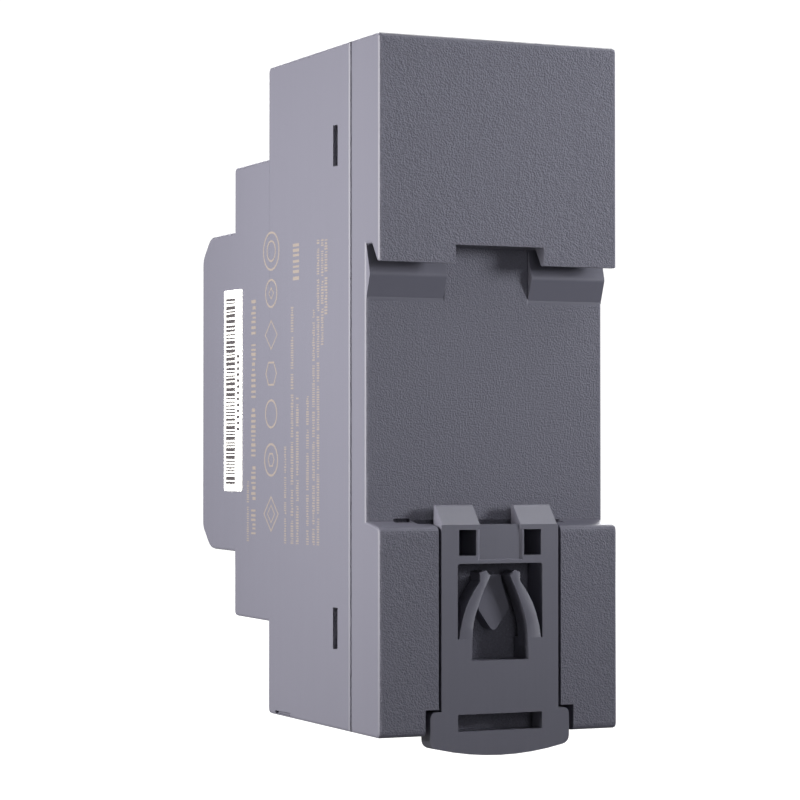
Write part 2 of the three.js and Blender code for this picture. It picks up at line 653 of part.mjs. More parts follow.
function addControlBoard() {
  const { inner, outer, low, high, front } = CONTROL_BOARD;
  piece("main_board", mainBoard(), MATERIAL.board);
  piece("control_board", cut(
    box([inner, outer], [ON_BOARD, front], [low, high]),
    box([inner - 1, outer + 1], [43.6, front + 1], [-30, -3]),
  ), MATERIAL.board);
  const onBoard = (height) => [inner - GAP - height, inner - GAP];
  piece("control_chip", box(onBoard(1.5), [26, 31], [4, 8]), MATERIAL.black);
  piece("trimmer_body", box(onBoard(5.8), [46, 51.6], around(TRIMMER.z, 6)), MATERIAL.trimmer);
  piece("trimmer_rotor", trimmerRotor(), MATERIAL.white);
  piece("status_led", box(onBoard(4.4), [48.5, 52.8], around(LAMP.z, 3)), MATERIAL.lens);
  piece("light_pipe", lightPipe(), MATERIAL.lens);
}

// The trimmer's slotted screw, turned from outside through the hole in the nose.
function trimmerRotor() {
  const centre = [TRIMMER.x, TRIMMER.z];
  return cut(
    join(rod(centre, 1.6, [51.9, 55.4]), rod(centre, 2.4, [51.9, 52.8])),
    box(around(TRIMMER.x, 2.7), [54.6, 56], around(TRIMMER.z, 0.7)),
  );
}

// The light pipe, flush with the nose outside and with a collar inside.
function lightPipe() {
  const centre = [LAMP.x, LAMP.z];
  return join(
    rod(centre, LAMP.radius, [53.2, DEPTH]),
    rod(centre, LAMP.radius + 1, [54.2, DEPTH - WALL - GAP]),
  );
}

// ---- The object ---------------------------------------------------------------------------------------

const STICKER = { near: 43, far: 49.3, low: -14.6, high: 13.7, thickness: 0.12 };

function sideSticker() {
  const shape = outline([
    [y(STICKER.near), STICKER.low, 0.4],
    [y(STICKER.near), STICKER.high, 0.4],
    [y(STICKER.far), STICKER.high, 0.4],
    [y(STICKER.far), STICKER.low, 0.4],
  ]);
  const geometry = new THREE.ExtrudeGeometry(shape, {
    depth: STICKER.thickness, bevelEnabled: false, curveSegments: 3,
  });
  return solid(geometry.applyMatrix4(axes(Y, Z, X)).translate(HALF_WIDTH + 0.02, 0, 0));
}

piece("front_shell", frontShell(), MATERIAL.housing);
piece("rear_cover", rearCover(), MATERIAL.housing);
piece("rail_latch", latch(), MATERIAL.latch);
piece("latch_spring_arm_left", springArm(), MATERIAL.latch);
piece("latch_spring_arm_right", mirrored(springArm()), MATERIAL.latch);
piece("side_sticker", sideSticker(), MATERIAL.sticker);
addTerminals();
addTransformer();
addInputStage();
addOutputStage();
addControlBoard();

export default group;
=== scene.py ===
"""Studio view of a power supply for a DIN rail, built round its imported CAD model.

Metres, in the model's own frame: +X is the side with the sticker, +Y the rear, +Z up, and the origin is on
the face that seats on the rail, on the rail's centre line.
"""

import json
import math
import random

import bmesh
import bpy
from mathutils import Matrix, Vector


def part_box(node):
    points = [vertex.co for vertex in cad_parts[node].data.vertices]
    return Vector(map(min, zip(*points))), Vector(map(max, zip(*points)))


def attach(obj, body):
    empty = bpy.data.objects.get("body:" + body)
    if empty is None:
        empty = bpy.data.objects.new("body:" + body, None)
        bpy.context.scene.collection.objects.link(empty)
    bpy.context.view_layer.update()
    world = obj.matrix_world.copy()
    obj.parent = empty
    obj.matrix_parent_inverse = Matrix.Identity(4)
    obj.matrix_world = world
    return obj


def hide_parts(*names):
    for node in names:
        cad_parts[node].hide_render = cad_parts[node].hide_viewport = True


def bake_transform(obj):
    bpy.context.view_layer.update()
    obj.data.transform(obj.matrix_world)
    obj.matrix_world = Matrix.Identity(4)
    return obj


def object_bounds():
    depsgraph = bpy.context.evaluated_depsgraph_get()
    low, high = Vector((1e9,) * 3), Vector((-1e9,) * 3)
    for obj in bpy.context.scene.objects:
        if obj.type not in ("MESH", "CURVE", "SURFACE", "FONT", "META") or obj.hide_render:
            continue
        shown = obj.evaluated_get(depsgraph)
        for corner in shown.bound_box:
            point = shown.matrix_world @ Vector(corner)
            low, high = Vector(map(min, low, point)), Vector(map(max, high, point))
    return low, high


MM = 0.001

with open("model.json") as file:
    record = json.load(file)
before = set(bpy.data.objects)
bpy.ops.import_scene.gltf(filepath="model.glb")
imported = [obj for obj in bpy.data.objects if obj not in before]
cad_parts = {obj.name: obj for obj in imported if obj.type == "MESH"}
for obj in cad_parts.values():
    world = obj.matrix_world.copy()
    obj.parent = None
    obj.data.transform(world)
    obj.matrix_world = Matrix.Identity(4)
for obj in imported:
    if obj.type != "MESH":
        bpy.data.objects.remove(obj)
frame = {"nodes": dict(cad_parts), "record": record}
cad_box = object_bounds()

NODES = frame["nodes"]
SLOTS = {part["node"]: part["material_slot"] for part in frame["record"]["subparts"]}
COLOURS = {m["slot"]: m["base_color"] for m in frame["record"]["materials"]}

SHELL_LOW, SHELL_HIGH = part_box("front_shell")
MARKED_SIDE = SHELL_HIGH.x
FRONT = SHELL_LOW.y
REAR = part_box("rear_cover")[1].y


# ---- Shader helpers -----------------------------------------------------------------------------------


def add(tree, kind, settings=None, **inputs):
    """Adds a shader node. An input's value is a number, a colour or another node's socket."""
    made = tree.nodes.new(kind)
    for key, value in (settings or {}).items():
        setattr(made, key, value)
    for key, value in inputs.items():
        connect(tree, value, made.inputs[key.replace("_", " ")])
    return made


def connect(tree, value, socket):
    if isinstance(value, bpy.types.NodeSocket):
        tree.links.new(value, socket)
    else:
        socket.default_value = value


def compute(tree, operation, *values):
    """A Math node's result."""
    made = tree.nodes.new("ShaderNodeMath")
    made.operation = operation
    for value, socket in zip(values, made.inputs):
        connect(tree, value, socket)
    return made.outputs[0]


def blend_colours(tree, factor, a, b):
    made = tree.nodes.new("ShaderNodeMix")
    made.data_type = "RGBA"
    colour_inputs = [socket for socket in made.inputs if socket.type == "RGBA"]
    connect(tree, factor, made.inputs[0])
    connect(tree, a, colour_inputs[0])
    connect(tree, b, colour_inputs[1])
    return next(socket for socket in made.outputs if socket.type == "RGBA")


def ramp(tree, value, low, high):
    """The value's place between low and high, from 0 to 1, smoothed."""
    made = tree.nodes.new("ShaderNodeMapRange")
    made.interpolation_type = "SMOOTHSTEP"
    for item, socket in zip((value, low, high, 0.0, 1.0), made.inputs):
        connect(tree, item, socket)
    return made.outputs[0]


def noise(tree, size, detail=2.0, roughness=0.5, stretch=(1, 1, 1)):
    """Noise whose cells are about this many millimetres across, from 0 to 1."""
    place = add(tree, "ShaderNodeTexCoord").outputs["Object"]
    if stretch != (1, 1, 1):
        place = add(tree, "ShaderNodeMapping", Vector=place, Scale=stretch).outputs[0]
    scale = 1 / (size * MM)
    made = add(tree, "ShaderNodeTexNoise", Vector=place, Scale=scale, Detail=detail, Roughness=roughness)
    return made.outputs[0]


def shade(colour, factor):
    return tuple(min(1.0, channel * factor) for channel in colour[:3]) + (1.0,)


def bump(tree, height, depth, strength=1.0, before=None):
    """A bump whose full height, at full strength, is this many millimetres."""
    made = add(tree, "ShaderNodeBump", Strength=strength, Distance=depth * MM, Height=height)
    if before is not None:
        tree.links.new(before, made.inputs["Normal"])
    return made.outputs[0]


def new_material(name):
    made = bpy.data.materials.new(name)
    made.use_nodes = True
    return made, made.node_tree, made.node_tree.nodes["Principled BSDF"]


def mottle(tree, shader, pattern, colour, darker, paler):
    """Colours a surface from a darker to a paler shade of its colour, as a pattern goes from 0 to 1."""
    mixed = blend_colours(tree, pattern, shade(colour, darker), shade(colour, paler))
    connect(tree, mixed, shader.inputs["Base Color"])


def roughen(tree, shader, least, pattern, more):
    """Makes a surface rougher, by up to this much, as a pattern goes from 0 to 1."""
    added = compute(tree, "MULTIPLY", pattern, more)
    connect(tree, compute(tree, "ADD", least, added), shader.inputs["Roughness"])


# ---- Materials ----------------------------------------------------------------------------------------


# The rear's smooth places: the slopes of the two ramps under the hook, and the wedge behind the latch. Each
# of their edges is soft, and runs between two places in millimetres.
RAMPS = {"inner": (6.1, 6.3), "foot": (10.2, 10.6), "front": (-4.5, -4), "rear": (1.6, 2.2)}
WEDGE = {"front": (0.6, 1.2), "top": (-24.6, -24.4), "side": (2.6, 2.8)}
FLAT = (0.8, 0.97)  # how squarely a face looks to the front or the rear before it carries grain


def past(tree, value, ends):
    """0 up to the first of two places in millimetres, 1 beyond the second."""
    return ramp(tree, value, ends[0] * MM, ends[1] * MM)


def short_of(tree, value, ends):
    """1 up to the first of two places in millimetres, 0 beyond the second."""
    return compute(tree, "SUBTRACT", 1.0, past(tree, value, ends))


def grained_faces(tree):
    """1 on the flat faces to the front and rear that carry the mould's spark-eroded grain, 0 elsewhere."""
    place = add(tree, "ShaderNodeTexCoord")
    facing = add(tree, "ShaderNodeSeparateXYZ", Vector=place.outputs["Normal"]).outputs[1]
    x, y, z = add(tree, "ShaderNodeSeparateXYZ", Vector=place.outputs["Object"]).outputs
    aside = compute(tree, "ABSOLUTE", x)
    flat = ramp(tree, compute(tree, "ABSOLUTE", facing), *FLAT)
    outside = compute(tree, "MULTIPLY", past(tree, aside, RAMPS["inner"]), past(tree, z, RAMPS["foot"]))
    sunk = compute(tree, "MULTIPLY", past(tree, y, RAMPS["front"]), short_of(tree, y, RAMPS["rear"]))
    ramps = compute(tree, "MULTIPLY", outside, sunk)
    inside = compute(tree, "MULTIPLY", short_of(tree, z, WEDGE["top"]), short_of(tree, aside, WEDGE["side"]))
    wedge = compute(tree, "MULTIPLY", past(tree, y, WEDGE["front"]), inside)
    polished = compute(tree, "MAXIMUM", ramps, wedge)
    return compute(tree, "MULTIPLY", flat, compute(tree, "SUBTRACT", 1.0, polished))


def streaks(tree, size):
    """Faint streaks along the height, as a mould's polished walls leave them, from 0 to 1."""
    return noise(tree, size, detail=3.0, stretch=(1, 1, 0.04))


# The spark-eroded grain: its sizes and depth in millimetres, the noise's levels where its crests begin and
# are full, and how much paler they are: a painted highlight on the crests, where light would catch them.
GRAIN = {"cell": 0.22, "swell": 0.7, "depth": 0.145, "crest_highlight": (0.42, 0.66), "paler": 1.45}
SATIN_DEPTH = 0.012  # millimetres: the finest waviness of plastic from a polished mould
SATIN_SPECULAR = 0.28


def housing_plastic():
    """Grey moulded plastic: fine grain to the front and rear, its crests a painted highlight; satin
    elsewhere.
    """
    made, tree, shader = new_material("housing_plastic")
    base = COLOURS["housing_plastic"]
    grained = grained_faces(tree)
    cells = noise(tree, GRAIN["cell"], detail=2.0)
    swell = noise(tree, GRAIN["swell"], detail=1.0)
    fine = noise(tree, 0.09, detail=2.0)
    cloud = noise(tree, 28, detail=3.0)
    tone = blend_colours(tree, cloud, shade(base, 0.94), shade(base, 1.06))
    tone = blend_colours(tree, compute(tree, "MULTIPLY", streaks(tree, 1.1), 0.5), tone, shade(base, 1.1))
    # painted highlight: the grain's crests are coloured paler, where light would catch them
    crest_highlight = ramp(tree, cells, *GRAIN["crest_highlight"])
    crest_highlight = compute(tree, "MULTIPLY", crest_highlight, compute(tree, "MULTIPLY", grained, 0.4))
    connect(tree, blend_colours(tree, crest_highlight, tone, shade(base, GRAIN["paler"])), shader.inputs["Base Color"])
    rough = compute(tree, "ADD", 0.42, compute(tree, "MULTIPLY", grained, 0.12))
    rough = compute(tree, "ADD", rough, compute(tree, "MULTIPLY", fine, 0.08))
    connect(tree, rough, shader.inputs["Roughness"])
    shader.inputs["Specular IOR Level"].default_value = SATIN_SPECULAR
    height = compute(tree, "ADD", cells, compute(tree, "MULTIPLY", swell, 0.5))
    height = compute(tree, "MULTIPLY", height, grained)
    satin = bump(tree, fine, SATIN_DEPTH, 0.5)
    connect(tree, bump(tree, height, GRAIN["depth"], 1.0, satin), shader.inputs["Normal"])
    return made


def satin_plastic(name, roughness):
    """Smooth moulded plastic with a faint waviness."""
    made, tree, shader = new_material(name)
    base = COLOURS[name]
    cloud = noise(tree, 9, detail=3.0)
    fine = noise(tree, 0.12, detail=2.0)
    tone = blend_colours(tree, cloud, shade(base, 0.93), shade(base, 1.07))
    lines = compute(tree, "MULTIPLY", streaks(tree, 0.5), 0.5)
    connect(tree, blend_colours(tree, lines, tone, shade(base, 1.18)), shader.inputs["Base Color"])
    roughen(tree, shader, roughness, fine, 0.12)
    waves = bump(tree, cloud, 0.05, 0.4)
    connect(tree, bump(tree, fine, SATIN_DEPTH, 0.6, waves), shader.inputs["Normal"])
    return made


def worked_metal(name, roughness=0.26, stretch=(1, 12, 1)):
    """Bare or plated metal with fine working marks."""
    made, tree, shader = new_material(name)
    base = COLOURS[name]
    marks = noise(tree, 0.25, detail=4.0, stretch=stretch)
    stain = noise(tree, 2.2, detail=3.0)
    mottle(tree, shader, stain, base, 0.82, 1.08)
    shader.inputs["Metallic"].default_value = 1.0
    roughen(tree, shader, roughness, marks, 0.2)
    connect(tree, bump(tree, marks, 0.02, 0.5), shader.inputs["Normal"])
    return made


def clear_lens():
    """The light pipe's tinted acrylic."""
    made, tree, shader = new_material("clear_lens")
    base = COLOURS["clear_lens"]
    swirl = noise(tree, 1.4, detail=2.0)
    mottle(tree, shader, swirl, base, 0.85, 1.05)
    shader.inputs["Transmission Weight"].default_value = 0.55
    shader.inputs["IOR"].default_value = 1.49
    roughen(tree, shader, 0.14, swirl, 0.1)
    return made


def film_or_ink(name, colour, roughness):
    """The sticker's film, the inks and the laser's marks: nearly flat, with a faint mottle."""
    made, tree, shader = new_material(name)
    fibres = noise(tree, 0.3, detail=3.0)
    mottle(tree, shader, fibres, colour, 0.94, 1.04)
    roughen(tree, shader, roughness, fibres, 0.1)
    connect(tree, bump(tree, fibres, 0.01, 0.4), shader.inputs["Normal"])
    return made


def circuit_board():
    """Solder resist over copper tracks, with the laminate's weave just showing."""
    made, tree, shader = new_material("circuit_board")
    base = COLOURS["circuit_board"]
    place = add(tree, "ShaderNodeTexCoord").outputs["Object"]
    tracks = add(tree, "ShaderNodeTexBrick", Vector=place, Scale=90.0, Mortar_Size=0.03)
    weave = add(tree, "ShaderNodeTexWave", Vector=place, Scale=900.0, Distortion=0.4)
    over = ramp(tree, tracks.outputs["Fac"], 0.2, 0.8)
    mottle(tree, shader, over, base, 1.0, 1.7)
    shader.inputs["Roughness"].default_value = 0.32
    connect(tree, bump(tree, weave.outputs["Fac"], 0.01, 0.4), shader.inputs["Normal"])
    return made


def rough_solid(name, roughness, size, depth, stretch=(1, 1, 1)):
    """Ferrite, epoxy, dipped coatings, sleeves and windings, which differ in gloss and in texture."""
    made, tree, shader = new_material(name)
    base = COLOURS[name]
    texture = noise(tree, size, detail=3.0, stretch=stretch)
    mottle(tree, shader, texture, base, 0.8, 1.15)
    roughen(tree, shader, roughness, texture, 0.15)
    connect(tree, bump(tree, texture, depth, 0.6), shader.inputs["Normal"])
    return made


def make_materials():
    return {
        "housing_plastic": housing_plastic(),
        "latch_plastic": satin_plastic("latch_plastic", 0.4),
        "terminal_plastic": satin_plastic("terminal_plastic", 0.48),
        "white_nylon": satin_plastic("white_nylon", 0.4),
        "trimmer_case": satin_plastic("trimmer_case", 0.38),
        "film_capacitor_case": satin_plastic("film_capacitor_case", 0.35),
        "capacitor_sleeve": rough_solid("capacitor_sleeve", 0.22, 1.2, 0.03, (1, 0.3, 1)),
        "plated_steel": worked_metal("plated_steel"),
        "tinned_copper": worked_metal("tinned_copper", 0.38),
        "heatsink_aluminium": worked_metal("heatsink_aluminium", 0.34, (10, 1, 10)),
        "enamelled_wire": rough_solid("enamelled_wire", 0.2, 0.5, 0.2, (1, 6, 1)),
        "sticker_film": film_or_ink("sticker_film", COLOURS["sticker_film"], 0.4),
        "clear_lens": clear_lens(),
        "circuit_board": circuit_board(),
        "ferrite": rough_solid("ferrite", 0.6, 0.25, 0.03),
        "winding_tape": rough_solid("winding_tape", 0.25, 3.0, 0.05, (0.4, 0.4, 4)),
        "moulded_epoxy": rough_solid("moulded_epoxy", 0.5, 0.2, 0.015),
        "ceramic_disc": rough_solid("ceramic_disc", 0.18, 1.5, 0.06),
    }


# ---- The carried-over CAD nodes -----------------------------------------------------------------------

# How wide each edge's rounding is, in millimetres: on the larger mouldings and the sticker, and elsewhere.
EDGE_WIDTHS = {"front_shell": 0.16, "rear_cover": 0.18, "rail_latch": 0.16, "side_sticker": 0.0}
FINE_EDGE = 0.08


def finish_nodes(materials):
    """Gives every CAD node its material, and softens its edges as a mould or a press leaves them."""
    for name, node in NODES.items():
        node.data.materials.clear()
        node.data.materials.append(materials[SLOTS[name]])
        smooth(node.data)
        soften(node, EDGE_WIDTHS.get(name, FINE_EDGE))


def smooth(mesh):
    """Shades a mesh smooth, in its first material."""
    for face in mesh.polygons:
        face.material_index = 0
        face.use_smooth = True


def soften(piece, width):
    """Merges each flat face into one and rounds the sharp edges between faces, this many millimetres wide."""
    if width <= 0:
        return
    flatten = piece.modifiers.new("flat_faces", "DECIMATE")
    flatten.decimate_type = "DISSOLVE"
    flatten.angle_limit = math.radians(0.5)
    rounding = piece.modifiers.new("rounded_edges", "BEVEL")
    rounding.width = width * MM
    rounding.segments = 3
    rounding.limit_method = "ANGLE"
    rounding.angle_limit = math.radians(32)
    rounding.harden_normals = True
    rounding.use_clamp_overlap = True
    rounding.miter_outer = "MITER_ARC"


# ---- Pieces made here ---------------------------------------------------------------------------------


def add_piece(name, mesh, material, body):
    """A piece made here. It rides on a body, if one is given."""
    piece = bpy.data.objects.new(name, mesh)
    bpy.context.scene.collection.objects.link(piece)
    mesh.materials.clear()
    mesh.materials.append(material)
    if body:
        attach(piece, body)
    return piece


def mesh_of(name, build):
    """A mesh that build() draws into a bmesh."""
    made = bpy.data.meshes.new(name)
    shape = bmesh.new()
    build(shape)
    bmesh.ops.recalc_face_normals(shape, faces=shape.faces)
    shape.to_mesh(made)
    shape.free()
    return made


MARK_HEIGHT = 0.012 * MM
TERMINAL_STEP = 34.4  # millimetres forward of the rearmost face
# The sticker's ink, the laser's marks on the side and the printed signs on the front.
INKS = {"print": (0.045, 0.04, 0.045), "laser": (0.165, 0.14, 0.128), "pad": (0.5, 0.48, 0.47)}


def on_side(w, u, v):
    """A point w outward from the marked side's plane, drawn as (u, v) = (y, z)."""
    return MARKED_SIDE + w, u, v


def on_sticker(w, u, v):
    """The same on the sticker's face."""
    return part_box("side_sticker")[1].x + w, u, v


def on_nose(w, u, v):
    """A point w outward from the nose's plane, drawn as (u, v) = (x, z)."""
    return u, FRONT - w, v


def on_step(w, u, v):
    """The same on the step that the terminals' screws are reached through."""
    return u, REAR - TERMINAL_STEP * MM - w, v


def slab(shape, outline, surface):
    """A mark: a thin flat piece with this outline, on a surface."""
    low = [shape.verts.new(surface(0.0, u, v)) for u, v in outline]
    high = [shape.verts.new(surface(MARK_HEIGHT, u, v)) for u, v in outline]
    shape.faces.new(low)
    shape.faces.new(high)
    for i in range(len(outline)):
        j = (i + 1) % len(outline)
        shape.faces.new((low[i], low[j], high[j], high[i]))


def rectangle(u0, u1, v0, v1):
    return [(u0, v0), (u1, v0), (u1, v1), (u0, v1)]


def arc(shape, surface, centre, radius, width, sides=40, swept=1.0, start=0.0):
    """A flat ring, or a part of one, on a surface. With 4 or 6 sides it is a square or a hexagon."""
    steps = round(sides * swept)
    turns = [start + 2 * math.pi * i / sides for i in range(steps + 1)]
    for a, b in zip(turns, turns[1:]):
        corners = [(radius, a), (radius, b), (radius - width, b), (radius - width, a)]
        slab(shape, [(centre[0] + r * math.cos(t), centre[1] + r * math.sin(t)) for r, t in corners], surface)


# The sticker's bars and ticks, in millimetres from its front edge and from its foot.
STICKER_BARS = {
    "near": 0.7, "far": 3.9, "end": 1.0, "widths": (0.22, 0.22, 0.36, 0.5), "gaps": (0.18, 0.2, 0.3),
}
TICKS = {"near": 4.5, "far": 5.4, "low": 8.5, "high": 19.0, "width": 0.4, "pitch": 0.85}


def sticker_bars():
    """A row of plain bars of random widths along the sticker, and a row of short ticks beside it."""
    low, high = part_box("side_sticker")
    draws = random.Random(7)
    near, far = [low.y + STICKER_BARS[end] * MM for end in ("near", "far")]
    tick_near, tick_far = [low.y + TICKS[end] * MM for end in ("near", "far")]

    def build(shape):
        z = low.z + STICKER_BARS["end"] * MM
        while z < high.z - STICKER_BARS["end"] * MM:
            width = draws.choice(STICKER_BARS["widths"]) * MM
            bar = rectangle(near, far, z, z + width)
            slab(shape, bar, on_sticker)
            z += width + draws.choice(STICKER_BARS["gaps"]) * MM
        z = low.z + TICKS["low"] * MM
        while z < low.z + TICKS["high"] * MM:
            tick = rectangle(tick_near, tick_far, z, z + TICKS["width"] * MM)
            slab(shape, tick, on_sticker)
            z += TICKS["pitch"] * MM

    ink = film_or_ink("printing_ink", INKS["print"], 0.4)
    add_piece("sticker_bars", mesh_of("sticker_bars", build), ink, "housing")


# Rows of laser marks on the side, which stand for lines of print. In millimetres: each row's distance from
# the housing's rearmost face, the marks' height, the heights of the row's two ends, and the strokes' width.
LINE_ROWS = (
    (15.4, 0.9, 9.0, 19.5, 0.16), (16.6, 0.8, 5.0, 19.0, 0.14), (17.9, 0.8, -21.5, 19.0, 0.14),
    (19.3, 0.8, -21.5, 10.0, 0.14), (21.2, 0.8, -21.5, -1.0, 0.14), (24.4, 0.85, -21.5, -1.5, 0.15),
    (26.1, 0.85, -21.5, 10.5, 0.15), (24.3, 2.0, 14.0, 19.5, 0.34), (28.4, 0.7, -21.5, -8.0, 0.13),
    (38.6, 1.5, -20.5, 13.5, 0.3), (40.9, 0.7, -21.5, -13.0, 0.13),
)
# How many strokes a group has, their widths and gaps and the space after them as multiples of the row's
# stroke, by how much of the row's height a stroke may be shorter, and how much of that is off its top.
GROUP = {
    "strokes": (6, 18), "widths": (0.8, 1.6), "gaps": (0.8, 1.5), "space": 3.5,
    "shorter": (0.0, 0.0, 0.3), "off_top": (0.0, 0.5),
}


def strip_of_marks(shape, row, draws):
    """One row of short strokes, in groups as words are."""
    depth, height, z0, z1, stroke = row
    top = REAR - depth * MM
    z = z0 * MM
    while z < z1 * MM:
        for _ in range(draws.randint(*GROUP["strokes"])):
            width = draws.uniform(*GROUP["widths"]) * stroke * MM
            if z + width > z1 * MM:
                return
            short = draws.choice(GROUP["shorter"]) * height * MM
            lower = draws.choice(GROUP["off_top"]) * short
            mark = rectangle(top - height * MM + short - lower, top - lower, z, z + width)
            slab(shape, mark, on_side)
            z += width + draws.uniform(*GROUP["gaps"]) * stroke * MM
        z += GROUP["space"] * stroke * MM


# Plain rings, squares and hexagons in the place of approval marks, as (height, radius, stroke, sides), and
# their row's distance from the rearmost face.
SYMBOL_ROW = 33.4
SYMBOLS = (
    (18.4, 2.7, 0.28, 40), (18.4, 1.5, 0.25, 40), (12.6, 2.0, 0.28, 40), (12.6, 0.9, 0.25, 4),
    (6.9, 2.1, 0.28, 4), (1.6, 1.9, 0.28, 6), (-3.9, 2.0, 0.28, 40), (-10.2, 2.3, 0.3, 40),
    (-10.2, 1.1, 0.25, 6), (-17.6, 2.5, 0.3, 4), (-17.6, 1.3, 0.25, 4),
)


def side_marking(ink):
    """The laser's marks: rows of short strokes for print, and plain rings and shapes for approval marks."""
    draws = random.Random(11)

    def build(shape):
        for row in LINE_ROWS:
            strip_of_marks(shape, row, draws)
        for z, radius, stroke, sides in SYMBOLS:
            arc(shape, on_side, (REAR - SYMBOL_ROW * MM, z * MM), radius * MM, stroke * MM, sides)

    add_piece("side_marking", mesh_of("side_marking", build), ink, "housing")


# The signs by the terminals and the dial round the trimmer, in millimetres. The dial's ring starts at an
# angle in degrees and goes round for a part of a turn.
SIGN = {"size": 2.0, "wave": 3.0, "stroke": 0.34, "below": 4.9}
DIAL = {"radius": 2.9, "stroke": 0.22, "starts": -45, "swept": 0.75, "sign": 1.1, "aside": 3.6, "down": 2.6}


def sign(shape, surface, centre, size, stroke, upright):
    """A minus sign, or with an upright stroke a plus sign."""
    u, v = centre
    across = rectangle(u - size / 2, u + size / 2, v - stroke / 2, v + stroke / 2)
    slab(shape, across, surface)
    if upright:
        for v0, v1 in ((v + stroke / 2, v + size / 2), (v - size / 2, v - stroke / 2)):
            slab(shape, rectangle(u - stroke / 2, u + stroke / 2, v0, v1), surface)


def wave(shape, surface, centre, size, stroke, steps=16, swing=0.22):
    """The sign for alternating current, which swings up and down by this part of its size."""
    u, v = centre
    places = [i / steps - 0.5 for i in range(steps + 1)]
    middle = [(u + t * size, v - swing * size * math.sin(2 * math.pi * t)) for t in places]
    outline = [(a, b + stroke / 2) for a, b in middle] + [(a, b - stroke / 2) for a, b in reversed(middle)]
    slab(shape, outline, surface)


def middle_of(node):
    """A node's middle as (x, z)."""
    low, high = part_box(node)
    return (low.x + high.x) / 2, (low.z + high.z) / 2


def front_marking(ink):
    """Signs beside the terminals, and a dial round the trimmer."""
    def build(shape):
        size, stroke = SIGN["size"] * MM, SIGN["stroke"] * MM
        for pole in range(1, 5):
            x, z = middle_of(f"output_{pole}_screw")
            sign(shape, on_step, (x, z - SIGN["below"] * MM), size, stroke, upright=pole > 2)
        x, z = [sum(pair) / 2 for pair in zip(middle_of("input_1_screw"), middle_of("input_2_screw"))]
        wave(shape, on_step, (x, z + SIGN["below"] * MM), SIGN["wave"] * MM, stroke)
        x, z = middle_of("trimmer_rotor")
        arc(shape, on_nose, (x, z), DIAL["radius"] * MM, DIAL["stroke"] * MM, swept=DIAL["swept"],
            start=math.radians(DIAL["starts"]))
        for way in (-1, 1):
            place = (x + way * DIAL["aside"] * MM, z - DIAL["down"] * MM)
            sign(shape, on_nose, place, DIAL["sign"] * MM, DIAL["stroke"] * MM, upright=way > 0)

    add_piece("front_marking", mesh_of("front_marking", build), ink, "housing")


# In millimetres: how far each arm's visible root runs into the latch and spreads there, how far up it bends,
# and how far it lies under the plate's face.
ARM_ROOT = {"sunk": 1.4, "spread": 0.3, "bends_to": 2.6, "skin": 0.02}
HAIR = 1e-6  # metres: points closer than this lie in one plane
WELD = 1e-7  # metres: points closer than this are one


def rooted_arm(node):
    """A copy of a CAD arm's mesh. Its root is carried on into the latch's plate, and its rear face is moved
    to just under the plate's.
    """
    low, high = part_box(node.name)
    outward = 1 if low.x > 0 else -1
    mesh = node.data.copy()
    shape = bmesh.new()
    shape.from_mesh(mesh)
    bmesh.ops.remove_doubles(shape, verts=shape.verts, dist=WELD)
    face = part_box("rail_latch")[1].y - ARM_ROOT["skin"] * MM
    for vertex in shape.verts:
        if vertex.co.z < low.z + HAIR:
            vertex.co.z -= ARM_ROOT["sunk"] * MM
            if abs(vertex.co.x) > max(abs(low.x), abs(high.x)) - HAIR:
                vertex.co.x += outward * ARM_ROOT["spread"] * MM
        if vertex.co.y > high.y - HAIR:
            vertex.co.y = face
    shape.to_mesh(mesh)
    shape.free()
    return mesh


def spring_arm(side, materials):
    """A spring arm that is one moulding with the latch, with its root carried on into the plate."""
    node = NODES["latch_spring_arm_" + side]
    mesh = rooted_arm(node)
    piece = add_piece("bending_arm_" + side, mesh, materials["latch_plastic"], None)
    smooth(piece.data)
    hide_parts(node.name)
    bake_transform(piece)
    soften(piece, FINE_EDGE)


# ---- Studio -------------------------------------------------------------------------------------------

# The camera's place and lens in millimetres, and the direction that it looks from, in degrees. The azimuth
# goes from the front round to the marked side.
CAMERA = {"place": (187.7, 348.0, -9.95), "azimuth": 153.29, "elevation": -1.1, "lens": 136.0}


def place_camera():
    data = bpy.data.cameras.new("camera")
    data.lens = CAMERA["lens"]
    data.clip_start = 0.01
    data.clip_end = 20
    camera = bpy.data.objects.new("camera", data)
    bpy.context.scene.collection.objects.link(camera)
    turn, rise = math.radians(CAMERA["azimuth"]), math.radians(CAMERA["elevation"])
    back = Vector((math.sin(turn) * math.cos(rise), -math.cos(turn) * math.cos(rise), math.sin(rise)))
    camera.location = Vector(CAMERA["place"]) * MM
    camera.rotation_mode = "QUATERNION"
    camera.rotation_quaternion = (-back).to_track_quat("-Z", "Y")
    bpy.context.scene.camera = camera


def softbox(name, place, size, power, target=(0, 0, 0), colour=(1, 1, 1), spread=180):
    """A rectangular light aimed at a point, whose light spreads over this many degrees."""
    data = bpy.data.lights.new(name, "AREA")
    data.spread = math.radians(spread)
    data.shape = "RECTANGLE"
    data.size, data.size_y = size
    data.energy = power
    data.color = colour
    lamp = bpy.data.objects.new(name, data)
    lamp.location = place
    lamp.rotation_mode = "QUATERNION"
    lamp.rotation_quaternion = (Vector(target) - Vector(place)).to_track_quat("-Z", "Y")
    bpy.context.scene.collection.objects.link(lamp)


# The world's brightness: what lights the object, and what the camera sees.
AMBIENT = 0.08
BACKDROP = 1.1

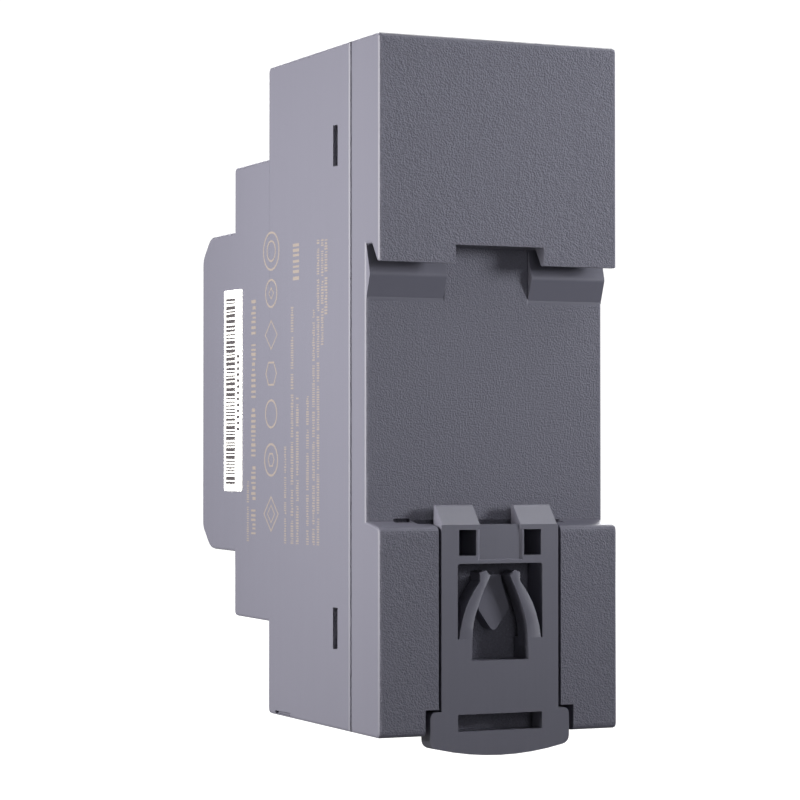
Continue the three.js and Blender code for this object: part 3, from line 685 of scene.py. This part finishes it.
# Places and sizes in metres, powers in watts, spreads in degrees.
LIGHTS = {
    "side_softbox": {
        "place": (0.19, -0.015, 0.03), "size": (0.08, 0.13), "power": 0.41, "target": (0.0175, -0.015, 0.012),
        "colour": (1.0, 0.985, 0.94), "spread": 105,
    },
    "rear_softbox": {
        "place": (-0.26, 0.17, 0.065), "size": (0.09, 0.09), "power": 0.112, "target": (0, 0, 0.042),
        "colour": (0.96, 0.97, 1.0), "spread": 52,
    },
    "fill_softbox": {
        "place": (0.08, 0.5, 0.02), "size": (0.3, 0.3), "power": 0.53, "colour": (0.96, 0.97, 1.0),
    },
    "top_softbox": {
        "place": (-0.24, 0.09, 0.45), "size": (0.25, 0.25), "power": 1.45, "colour": (0.97, 0.98, 1.0),
    },
    "front_softbox": {"place": (-0.35, -0.6, 0.35), "size": (0.5, 0.5), "power": 8.0},
}


def for_camera(tree, unseen, seen):
    """One brightness for the camera's own rays and another for the light that falls on the object."""
    path = add(tree, "ShaderNodeLightPath").outputs["Is Camera Ray"]
    return compute(tree, "ADD", unseen, compute(tree, "MULTIPLY", path, seen - unseen))


def light_scene():
    world = bpy.data.worlds.new("studio")
    world.use_nodes = True
    tree = world.node_tree
    background = tree.nodes["Background"]
    background.inputs["Color"].default_value = (1, 1, 1, 1)
    connect(tree, for_camera(tree, AMBIENT, BACKDROP), background.inputs["Strength"])
    bpy.context.scene.world = world
    bpy.context.scene.view_settings.view_transform = "Standard"
    for name, light in LIGHTS.items():
        softbox(name, **light)


LATCH_ROOM = 3.5  # millimetres under the latch at rest, which comes down when it is released
# The floor's half width in metres, its greys, and its brightness to the camera: near the object, how much
# brighter it is far off, and the distances in metres between which it changes. The glow is painted light,
# brighter far off where less lamp light falls on the floor, and dimmer near the object as painted shade round
# it.
FLOOR = {"half": 3.0, "greys": (0.12, 0.14), "near": 0.93, "brighter": 0.17, "fades": (0.08, 0.3)}


def lay_floor():
    """A wide pale floor, bright to the camera, just under the lowest place that the latch comes down to."""
    half = FLOOR["half"]
    low = cad_box[0].z - LATCH_ROOM * MM

    def build(shape):
        corners = ((-1, -1), (1, -1), (1, 1), (-1, 1))
        shape.faces.new([shape.verts.new((x * half, y * half, low)) for x, y in corners])

    floor = bpy.data.objects.new("floor", mesh_of("floor", build))
    bpy.context.scene.collection.objects.link(floor)
    made, tree, shader = new_material("pale_floor")
    greys = [(grey, grey, grey, 1) for grey in FLOOR["greys"]]
    connect(tree, blend_colours(tree, noise(tree, 400, detail=2.0), *greys), shader.inputs["Base Color"])
    shader.inputs["Roughness"].default_value = 0.9
    shader.inputs["Emission Color"].default_value = (1, 1, 1, 1)
    place = add(tree, "ShaderNodeTexCoord").outputs["Object"]
    distance = add(tree, "ShaderNodeVectorMath", {"operation": "LENGTH"}, Vector=place).outputs["Value"]
    # painted light: the floor glows brighter far off, and dimmer near the object as painted shade round it
    outward = compute(tree, "MULTIPLY", ramp(tree, distance, *FLOOR["fades"]), FLOOR["brighter"])
    glow = compute(tree, "ADD", FLOOR["near"], outward)
    seen = compute(tree, "MULTIPLY", glow, for_camera(tree, 0.0, 1.0))
    connect(tree, seen, shader.inputs["Emission Strength"])
    floor.data.materials.append(made)


# ---- The scene ----------------------------------------------------------------------------------------

place_camera()
light_scene()
lay_floor()
materials = make_materials()
finish_nodes(materials)
sticker_bars()
side_marking(film_or_ink("laser_mark", INKS["laser"], 0.5))
front_marking(film_or_ink("pad_print", INKS["pad"], 0.5))
for side in ("left", "right"):
    spring_arm(side, materials)
